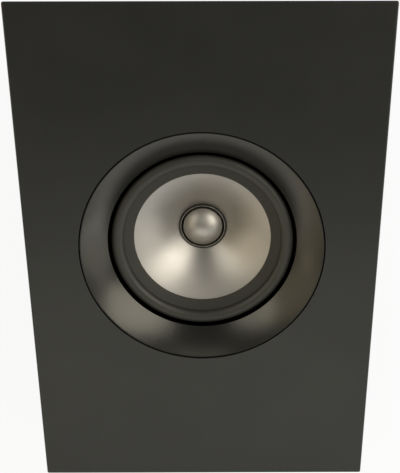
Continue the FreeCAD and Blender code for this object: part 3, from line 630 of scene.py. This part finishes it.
def makeWindingTree():  # the outer layer of wire, one ring for each turn
    tree, given = geometryTree(
        "wireWinding",
        [
            ("Turns", "NodeSocketInt", 11),
            ("Turn radius", "NodeSocketFloat", 0.013),
            ("Wire radius", "NodeSocketFloat", 0.0005),
            ("Pitch", "NodeSocketFloat", 0.001),
            ("Turn steps", "NodeSocketInt", 72),
            ("Wire steps", "NodeSocketInt", 8),
        ],
    )
    ring = circleOf(tree, given["Turn steps"], given["Turn radius"])
    section = circleOf(tree, given["Wire steps"], given["Wire radius"])
    wire = nodeOf(tree, "GeometryNodeCurveToMesh", {"Curve": ring, "Profile Curve": section})
    step = combined(tree, z=given["Pitch"])
    stack = nodeOf(tree, "GeometryNodeMeshLine", {"Count": given["Turns"], "Offset": step})
    return endTree(tree, given, nodeOf(tree, "GeometryNodeInstanceOnPoints", {"Points": stack, "Instance": wire}))


turnedTree = makeTurnedTree()
flutedTree = makeFlutedTree()
screwTree = makeScrewTree()
windingTree = makeWindingTree()
print("geometry trees: turned, fluted, screws, winding")

# degrees from which an edge stays sharp
sharpAngles = {"plain": 32.0, "rounded": 20.0, "soft": 60.0}
pathShare = 0.6  # radius of a sweep's path against its widest point


def pieceName(nodeName):  # terminal_cup becomes terminalCup
    first, *others = nodeName.split("_")
    return first + "".join(word.capitalize() for word in others)


def hostMesh(name, points, edges=(), faces=()):
    mesh = bpy.data.meshes.new(name)
    mesh.from_pydata(points, edges, faces)
    return addObject(name, mesh)


def sectionHost(name, section, pathRadius):  # section points are (radius, height, corner) in mm, in order
    count = len(section)
    points = [(r * mm - pathRadius, -z * mm, 0) for r, z, corner in section]
    host = hostMesh(name, points, [(k, (k + 1) % count) for k in range(count)])
    corners = host.data.attributes.new("corner", "FLOAT", "POINT")
    corners.data.foreach_set("value", [corner * mm for r, z, corner in section])
    return host


def baked(host):
    graph = bpy.context.evaluated_depsgraph_get()
    mesh = bpy.data.meshes.new_from_object(host.evaluated_get(graph), depsgraph=graph)
    bpy.data.objects.remove(host)
    return mesh


def grown(host, tree, values, sharp=sharpAngles["plain"]):  # run the tree, keep its result as a plain mesh
    modifier = host.modifiers.new(tree.name, "NODES")
    modifier.node_group = tree
    for item in tree.interface.items_tree:
        if item.in_out == "INPUT" and item.name in values:
            modifier[item.identifier] = values[item.name]
    return finishedPiece(host.name, baked(host), sharp)


def finishedPiece(name, mesh, sharp):
    shape = bmesh.new()
    shape.from_mesh(mesh)
    bmesh.ops.remove_doubles(shape, verts=shape.verts, dist=fineWeld)
    bmesh.ops.recalc_face_normals(shape, faces=shape.faces)
    shape.to_mesh(mesh)
    shape.free()
    mesh.shade_smooth()
    mesh.set_sharp_from_angle(angle=math.radians(sharp))
    mesh.name = name
    return addObject(name, mesh)


def turnedPiece(name, section, slotName, place, turn, segments, tree=turnedTree, **more):
    pathRadius = max(r for r, z, corner in section) * pathShare * mm
    host = sectionHost(name, section, pathRadius)
    values = {
        "Segments": segments,
        "Path radius": pathRadius,
        "Place": place,
        "Turn": turn,
        "Material": materials[slotName],
        **more,
    }
    piece = grown(host, tree, values)
    return piece


def onDriver(name, section, slotName, segments=192):
    return turnedPiece(name, section, slotName, driverCentre, driverTurn, segments)


# driver: radii and levels in mm, in the driver's frame
driverSizes = {
    "ringRadius": 62.5,
    "ringInner": 49.1,
    "ringDish": 11.6,
    "ringShell": 2.2,
    "ringEdge": 0.5,
    "lipWall": 1.8,
    "lipTop": -14.2,
    "lipEdge": 0.2,
    "legInner": 59.6,
    "rebateFloor": -18.1,
    "rollOuter": 47.8,
    "rollInner": 41.0,
    "rollCrest": -11.0,
    "rubber": 0.7,
    "lipInner": 36.05,
    "lipSteps": 6,
    "flangeShort": 0.3,
    "arcSteps": 24,
    "coneRim": (41.35, -15.5),
    "coneNeck": (12.15, -35.6),
    "coneSagitta": 1.5,
    "coneThickness": 0.5,
    "rimFlare": 0.3,
    "neckLength": 3.0,
    "softGap": 0.3,
    "glueLine": 0.05,
    "beadWidth": 1.0,
    "beadMiddle": (0.35, 0.55),
    "beadRound": 0.3,
    "thinRound": 0.1,
    "formerRadii": (11.8, 12.1),
    "formerEnds": (-61.3, -34.2),
    "plugRadius": 10.6,
    "plugShoulder": -34.0,
    "plugDome": 5.0,
    "plugSteps": 20,
    "plugRound": 0.3,
    "plugFoot": -53.1,
    "spigotRadius": 3.0,
    "spigotFoot": -61.1,
}


def arcPoints(radius, centre, startAngle, endAngle, steps):
    angles = [startAngle + (endAngle - startAngle) * k / steps for k in range(steps + 1)]
    return [(centre[0] + radius * math.cos(a), centre[1] + radius * math.sin(a), 0) for a in angles]


def makeTrimRing(size):
    fall = size["ringDish"] / (size["ringRadius"] - size["ringInner"])
    drop = size["ringShell"] * math.hypot(1, fall)
    lipOuter = size["ringInner"] + size["lipWall"]

    def backAt(radius):
        return -(size["ringRadius"] - radius) * fall - drop

    section = [
        (size["ringRadius"], 0, size["ringEdge"]),
        (size["ringInner"], -size["ringDish"], size["ringEdge"]),
        (size["ringInner"], size["lipTop"], size["lipEdge"]),
        (lipOuter, size["lipTop"], size["lipEdge"]),
        (lipOuter, backAt(lipOuter), 0),
        (size["legInner"], backAt(size["legInner"]), 0),
        (size["legInner"], size["rebateFloor"], 0),
        (size["ringRadius"], size["rebateFloor"], 0),
    ]
    ring = onDriver("trimRing", section, "trim_plastic", segments=256)
    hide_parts("trim_ring")
    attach(ring, "cabinet")


def coneCurve(size):  # centre and radius of the cone's front arc
    (rimR, rimZ), (neckR, neckZ) = size["coneRim"], size["coneNeck"]
    chordR, chordZ = rimR - neckR, rimZ - neckZ
    chord = math.hypot(chordR, chordZ)
    sagitta = size["coneSagitta"]
    radius = (chord ** 2 / 4 + sagitta ** 2) / (2 * sagitta)
    reach = (radius - sagitta) / chord
    return (neckR + rimR) / 2 + chordZ * reach, (neckZ + rimZ) / 2 - chordR * reach, radius


def coneLevel(size, radius, lift=0.0):
    centreR, centreZ, arcRadius = coneCurve(size)
    return centreZ + math.sqrt((arcRadius + lift) ** 2 - (radius - centreR) ** 2)


def coneRun(size, start, end, lift, steps):
    radii = [start + (end - start) * k / steps for k in range(steps + 1)]
    return [(r, coneLevel(size, r, lift), 0) for r in radii]


def makeCone(size):
    neckR, neckZ = size["coneNeck"]
    rimR = size["coneRim"][0]
    skin = size["coneThickness"]
    foot = neckZ - size["neckLength"]
    section = coneRun(size, neckR, rimR, 0, size["arcSteps"])
    section += coneRun(size, rimR + size["rimFlare"], neckR + skin, -skin, size["arcSteps"])
    section += [(neckR + skin, foot, 0), (neckR, foot, 0)]
    cone = onDriver("cone", section, "cone_metal", segments=256)
    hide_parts("cone")
    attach(cone, "cone_assembly")


def makeNeckBead(size):
    neckR, width = size["coneNeck"][0], size["beadWidth"]
    outer = neckR + width
    foot = coneLevel(size, neckR, size["glueLine"])
    edge = coneLevel(size, outer, size["glueLine"])
    out, up = size["beadMiddle"]
    middle = (neckR + out * width, foot + up * width, size["beadRound"])
    section = [(neckR, foot, 0), (outer, edge, 0), middle, (neckR, foot + width, size["thinRound"])]
    bead = onDriver("neckBead", section, "bead_glue")
    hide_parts("neck_bead")
    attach(bead, "cone_assembly")


def makeFormer(size):
    inner, outer = size["formerRadii"]
    low, high = size["formerEnds"]
    edge = size["thinRound"]
    section = [(inner, low, 0), (outer, low, 0), (outer, high, edge), (inner, high, edge)]
    former = onDriver("coilFormer", section, "former_foil")
    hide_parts("coil_former")
    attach(former, "cone_assembly")


def makePhasePlug(size):
    radius, height = size["plugRadius"], size["plugDome"]
    shoulder, foot = size["plugShoulder"], size["plugFoot"]
    capRadius = (radius ** 2 + height ** 2) / (2 * height)
    centre = (0, shoulder + height - capRadius)
    rimAngle = math.asin((shoulder - centre[1]) / capRadius)
    section = arcPoints(capRadius, centre, math.pi / 2, rimAngle, size["plugSteps"])
    section += [
        (radius, foot, size["plugRound"]),
        (size["spigotRadius"], foot, 0),
        (size["spigotRadius"], size["spigotFoot"], size["plugRound"]),
        (0, size["spigotFoot"], 0),
    ]
    plug = onDriver("phasePlug", section, "plug_metal", segments=128)
    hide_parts("phase_plug")
    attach(plug, "cabinet")


def circleThrough(first, middle, last):
    (ax, ay), (bx, by), (cx, cy) = first, middle, last
    d = 2 * (ax * (by - cy) + bx * (cy - ay) + cx * (ay - by))
    a, b, c = (ax * ax + ay * ay, bx * bx + by * by, cx * cx + cy * cy)
    x = (a * (by - cy) + b * (cy - ay) + c * (ay - by)) / d
    y = (a * (cx - bx) + b * (ax - cx) + c * (bx - ax)) / d
    return x, y, math.hypot(ax - x, ay - y)


def arcThrough(first, middle, last, steps):
    x, y, radius = circleThrough(first, middle, last)
    start, via, end = [math.atan2(p[1] - y, p[0] - x) for p in (first, middle, last)]
    start, end = [via + (a - via + math.pi) % math.tau - math.pi for a in (start, end)]
    return arcPoints(radius, (x, y), start, end, steps)


def driverRadius(point):  # distance from the driver's axis, in mm
    local = driverTurn.to_matrix().inverted() @ (point - driverCentre)
    return math.hypot(local.x, local.y) / mm


def bendWithCone(piece, weightAt):  # follows the cabinet where the weight is 0 and the cone where it is 1
    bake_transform(piece, "cabinet", "cone_assembly", driverCentre, driverCentre + Vector((0, 0, 0.01)))
    shares = piece.data.attributes["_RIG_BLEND"].data
    for vertex, share in zip(piece.data.vertices, shares):
        t = min(max(weightAt(vertex.co), 0.0), 1.0)
        share.value = t * t * (3 - 2 * t)  # eased at both ends


def makeSurround(size):
    rubber, gap = size["rubber"], size["softGap"]
    front = gap + rubber
    rollIn, rollOut = size["rollInner"], size["rollOuter"]
    middle = (rollIn + rollOut) / 2
    lipTop, crest = size["lipTop"], size["rollCrest"]
    flangeBack = lipTop - rubber
    flangeRim = size["ringInner"] + size["lipWall"] - size["flangeShort"]
    root = (rollIn, coneLevel(size, rollIn, front))
    backRoot = (rollIn + rubber, coneLevel(size, rollIn + rubber, gap))
    section = coneRun(size, size["lipInner"], rollIn, front, size["lipSteps"])[:-1]
    section += arcThrough(root, (middle, crest), (rollOut, lipTop), size["arcSteps"])
    section += [(flangeRim, lipTop, 0), (flangeRim, flangeBack, 0)]
    section += arcThrough((rollOut - rubber, flangeBack), (middle, crest - rubber), backRoot, size["arcSteps"])
    section += coneRun(size, rollIn + rubber, size["lipInner"], gap, size["lipSteps"])[1:]
    surround = onDriver("surround", section, "surround_rubber", segments=256)
    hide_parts("surround")
    bendWithCone(surround, lambda p: (rollOut - driverRadius(p)) / (rollOut - rollIn))


makeTrimRing(driverSizes)
makeCone(driverSizes)
makeNeckBead(driverSizes)
makeFormer(driverSizes)
makePhasePlug(driverSizes)
makeSurround(driverSizes)
print("driver front built")

# softened copies of CAD pieces, angles in degrees
bevelSet = {"segments": 2, "angle": 40.0, "flatAngle": 0.5}


def mergedMesh(nodeName, flatten=False):
    mesh = nodes[nodeName].data.copy()
    shape = bmesh.new()
    shape.from_mesh(mesh)
    bmesh.ops.remove_doubles(shape, verts=shape.verts, dist=weldDistance)
    if flatten:  # flat faces become one polygon each, so that edges can be rounded
        flatAngle = math.radians(bevelSet["flatAngle"])
        bmesh.ops.dissolve_limit(shape, angle_limit=flatAngle, verts=shape.verts, edges=shape.edges)
    shape.to_mesh(mesh)
    shape.free()
    return mesh


def mergedCopy(nodeName, edgeWidth=0.0):
    name, sharp = pieceName(nodeName), sharpAngles["plain"]
    mesh = mergedMesh(nodeName, edgeWidth > 0)
    if edgeWidth:
        host = addObject(name, mesh)
        edge = host.modifiers.new("edges", "BEVEL")
        edge.width = edgeWidth * mm
        edge.segments = bevelSet["segments"]
        edge.limit_method = "ANGLE"
        edge.angle_limit = math.radians(bevelSet["angle"])
        mesh = baked(host)
        sharp = sharpAngles["rounded"]  # flat faces stay flat beside rounded edges
    piece = finishedPiece(name, mesh, sharp)
    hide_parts(nodeName)
    return piece


# radii between which the spider bends, mm
spiderSizes = {"inner": driverSizes["formerRadii"][1] + 1.0, "outer": 29.0}


def makeSpider(size):
    spider = mergedCopy("spider")
    inner, outer = size["inner"], size["outer"]
    bendWithCone(spider, lambda p: (outer - driverRadius(p)) / (outer - inner))


# stiff lengths at the ends of the leads, mm
leadSizes = {"atCone": 1.0, "atTab": 4.0}


def makeTinselLeads(size):
    for side in ("positive", "negative"):
        lead = mergedCopy("tinsel_lead_" + side)
        reach = [driverRadius(v.co) for v in lead.data.vertices]
        near, far = min(reach) + size["atCone"], max(reach) - size["atTab"]
        bendWithCone(lead, lambda p: (far - driverRadius(p)) / (far - near))


makeSpider(spiderSizes)
makeTinselLeads(leadSizes)

softEdges = {"terminal_cup": 0.5, "hanger_plate": 0.25}  # edge width in mm
for nodeName, width in softEdges.items():
    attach(mergedCopy(nodeName, width), "cabinet")
print("spider, leads, cup and hanger softened")

# terminals on the rear, in the rear frame, mm
terminalSizes = {
    "height": 47.0,
    "across": 19.05,
    "collarSeat": -29.2,
    "collarRadius": 6.5,
    "bore": 3.55,
    "knobSeat": -27.2,
    "knobTop": -11.2,
    "knobRadius": 7.0,
    "footChamfer": 0.9,
    "topChamfer": 1.0,
    "dishRadii": (5.0, 4.7),
    "dishDepth": 0.5,
    "gripRows": (1.9, 2.1, 2.5, 3.0),  # above the seat, close together where the flutes run out
    "gripSkin": 1.2,
    "runOut": 1.0,
    "flutes": 16,
    "fluteSteps": 12,
    "fluteDepth": 0.45,
}


def makeTerminals(size):
    for colour, side in (("red", -1), ("black", 1)):
        place = (side * size["across"] / 2 * mm, rearPlane, size["height"] * mm)
        bore, rim = size["bore"], size["collarRadius"]
        low, high = size["collarSeat"], size["knobSeat"]
        section = [(bore, low, 0.1), (rim, low, 0.35), (rim, high, 0.35), (bore, high, 0.1)]
        collar = turnedPiece(colour + "Collar", section, "post_brass", place, rearTurn, segments=96)
        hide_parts(colour + "_collar")
        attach(collar, colour + "_collar")
        low, high, grip = size["knobSeat"], size["knobTop"], size["knobRadius"]
        foot, top = size["footChamfer"], size["topChamfer"]
        dishRim, dishFloor = size["dishRadii"]
        dishLevel = high - size["dishDepth"]
        section = [(bore, low, 0.1), (grip - foot, low, 0.2), (grip, low + foot, 0.4)]
        section += [(grip, low + row, 0) for row in size["gripRows"]]
        section += [
            (grip, high - top, 0.5),
            (grip - top, high, 0.3),
            (dishRim, high, 0.15),
            (dishFloor, dishLevel, 0.15),
            (bore, dishLevel, 0.1),
        ]
        flutes = {
            "Flutes": size["flutes"],
            "Flute depth": size["fluteDepth"] * mm,
            "Grip radius": (grip - size["gripSkin"]) * mm,
            "Grip low": (low + size["gripRows"][0]) * mm,
            "Run out": size["runOut"] * mm,
        }
        segments = size["flutes"] * size["fluteSteps"]
        knob = turnedPiece(
            colour + "Knob", section, "knob_" + colour, place, rearTurn, segments, flutedTree, **flutes
        )
        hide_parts(colour + "_knob")
        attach(knob, colour + "_knob")


makeTerminals(terminalSizes)
print("terminals built")

# screws, one shape: head on z = 0, mm; level is where the heads sit in the rear frame
screwSizes = {
    "head": 3.2,
    "rim": 0.6,
    "height": 1.9,
    "shank": 1.75,
    "length": 8.0,
    "recessDepth": 1.1,
    "capSteps": 8,
    "segments": 40,
    "level": -2.2,
}
# places in the rear frame, round a height on the panel
screwSets = {
    "cup_screws": {"height": 47.0, "places": [(x, y) for x in (-37.6, 37.6) for y in (-20.6, 20.6)]},
    "hanger_screws": {"height": 95.9185, "places": [(0, -16.5185), (0, 16.5185)]},
}


def makeScrews(nodeName, look, size):
    head, rim, height, shank = size["head"], size["rim"], size["height"], size["shank"]
    tip = -size["length"]
    rise = height - rim
    capRadius = (head ** 2 + rise ** 2) / (2 * rise)
    centre = (0, height - capRadius)
    rimAngle = math.asin((rim - centre[1]) / capRadius)
    section = arcPoints(capRadius, centre, math.pi / 2, rimAngle, size["capSteps"])
    section += [(head, 0, 0.1), (shank, 0, 0), (shank, tip + 2 * shank, 0), (0, tip, 0)]
    places = hostMesh(nodeName + "Places", [(x * mm, y * mm, size["level"] * mm) for x, y in look["places"]])
    pathRadius = shank * mm
    host = sectionHost(pieceName(nodeName), section, pathRadius)
    values = {
        "Segments": size["segments"],
        "Path radius": pathRadius,
        "Places": places,
        "Recess floor": (height - size["recessDepth"]) * mm,
        "Place": (0, rearPlane, look["height"] * mm),
        "Turn": rearTurn,
        "Material": materials[slotOfNode[nodeName]],
    }
    screws = grown(host, screwTree, values)
    bpy.data.objects.remove(places)
    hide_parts(nodeName)
    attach(screws, "cabinet")


for nodeName, look in screwSets.items():
    makeScrews(nodeName, look, screwSizes)
print("screws set")

# feet: moulded rubber with a soft edge and a dished sole, mm
footSizes = {"top": 9.0, "sole": 8.1, "height": 3.0, "dish": 4.5, "dishDepth": 0.6, "dishSlope": 0.6}


def makeFeet(size):
    for corner in ("front_left", "front_right", "rear_left", "rear_right"):
        nodeName = "foot_" + corner
        low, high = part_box(nodeName)
        place = ((low.x + high.x) / 2, (low.y + high.y) / 2, low.z)
        section = [
            (0, size["dishDepth"], 0),
            (size["dish"], size["dishDepth"], 0.4),
            (size["dish"] + size["dishSlope"], 0, 0.3),
            (size["sole"], 0, 0.5),
            (size["top"], size["height"], 0.1),
            (0, size["height"], 0),
        ]
        foot = turnedPiece(pieceName(nodeName), section, "foot_rubber", place, Euler((0, 0, 0)), segments=72)
        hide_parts(nodeName)
        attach(foot, "cabinet")


makeFeet(footSizes)

# inductor on the board, mm
windingSizes = {"wire": 0.95}


def makeWinding(size):
    low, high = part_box("coil_winding")
    wire = size["wire"] * mm
    turns = int((high.z - low.z) / wire)
    pitch = (high.z - low.z - wire) / (turns - 1)
    outer = (high.x - low.x) / 2 - wire / 2
    middle = (low + high) / 2
    host = hostMesh("coilWinding", [])
    values = {
        "Turns": turns,
        "Turn radius": outer,
        "Wire radius": wire / 2,
        "Pitch": pitch,
        "Place": (middle.x, middle.y, low.z + wire / 2),
        "Material": materials["coil_copper"],
    }
    winding = grown(host, windingTree, values, sharpAngles["soft"])
    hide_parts("coil_winding")
    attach(winding, "cabinet")


makeWinding(windingSizes)
print("feet and winding built")

# damping pads: wadding on the side walls, crowned on its free side, mm
padSizes = {
    "voxel": 4.0,
    "start": 1.2,
    "pressure": 4.0,
    "cap": 5.0,
    "frames": 20,
    "wallShare": 0.55,  # of the half thickness: from there on it lies flat on the wall
    "evenFactor": 0.5,
    "evenSteps": 8,
}


def padBlank(nodeName, size, middle, half):  # an even mesh, drawn in a little from the solid
    host = addObject("padHost", mergedMesh(nodeName))
    remesh = host.modifiers.new("voxels", "REMESH")
    remesh.mode = "VOXEL"
    remesh.voxel_size = size["voxel"] * mm
    mesh = baked(host)
    for vertex in mesh.vertices:
        for axis in range(3):
            share = 1 - size["start"] * mm / half[axis]
            vertex.co[axis] = middle[axis] + (vertex.co[axis] - middle[axis]) * share
    return mesh


def swollen(mesh, size):  # cloth under pressure, run here and kept as a mesh
    host = addObject("padHost", mesh)
    cloth = host.modifiers.new("wadding", "CLOTH")
    cloth.settings.use_pressure = True
    cloth.settings.uniform_pressure_force = size["pressure"]
    cloth.settings.effector_weights.gravity = 0
    for step in range(1, size["frames"] + 1):
        scene.frame_set(step)
    mesh = baked(host)
    scene.frame_set(1)
    return mesh


def makePads(size):
    for side, wall in (("left", -1), ("right", 1)):
        nodeName = "damping_pad_" + side
        low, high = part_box(nodeName)
        middle, half = (low + high) / 2, (high - low) / 2
        mesh = padBlank(nodeName, size, middle, half)
        begin = [vertex.co.copy() for vertex in mesh.vertices]
        mesh = swollen(mesh, size)
        for vertex, old in zip(mesh.vertices, begin):
            move = vertex.co - old
            move.length = min(move.length, size["cap"] * mm)
            vertex.co = old + move
            if (old.x - middle.x) * wall > half.x * size["wallShare"]:
                vertex.co.x = middle.x + wall * half.x
            for axis in range(3):
                vertex.co[axis] = min(max(vertex.co[axis], low[axis]), high[axis])
        host = addObject("padHost", mesh)
        even = host.modifiers.new("even", "SMOOTH")
        even.factor, even.iterations = size["evenFactor"], size["evenSteps"]
        soft = host.modifiers.new("soft", "SUBSURF")
        soft.levels = soft.render_levels = 1
        pad = finishedPiece(pieceName(nodeName), baked(host), sharpAngles["soft"])
        pad.data.materials.clear()
        pad.data.materials.append(materials["pad_wadding"])
        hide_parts(nodeName)
        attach(pad, "cabinet")


makePads(padSizes)
print("damping pads swollen")

# floor: white to the eye, with a little of the shadow kept
floorSet = {"size": 60.0, "drop": 0.0002, "paint": 0.95, "shadowShare": 0.1}


def makeFloor(look):
    half, level = look["size"] / 2, -look["drop"]
    corners = [(x * half, y * half, level) for x, y in ((-1, -1), (1, -1), (1, 1), (-1, 1))]
    floor = hostMesh("floor", corners, faces=[(0, 1, 2, 3)])
    material = bpy.data.materials.new("paleFloor")
    material.use_nodes = True
    tree = material.node_tree
    tree.nodes.remove(tree.nodes["Principled BSDF"])
    paint = nodeOf(tree, "ShaderNodeBsdfDiffuse", {"Color": (look["paint"],) * 3 + (1,)})
    glow = nodeOf(tree, "ShaderNodeEmission", {})
    light = addNode(tree, "ShaderNodeLightPath")
    seen = mathOf(tree, "MAXIMUM", light.outputs["Is Camera Ray"], light.outputs["Is Glossy Ray"])
    seen = mathOf(tree, "MAXIMUM", seen, light.outputs["Is Transmission Ray"])
    share = mathOf(tree, "MULTIPLY", seen, 1 - look["shadowShare"])
    mixed = nodeOf(tree, "ShaderNodeMixShader", {0: share, 1: paint, 2: glow})
    feed(tree, tree.nodes["Material Output"].inputs["Surface"], mixed)
    floor.data.materials.append(material)


makeFloor(floorSet)
print("floor laid")
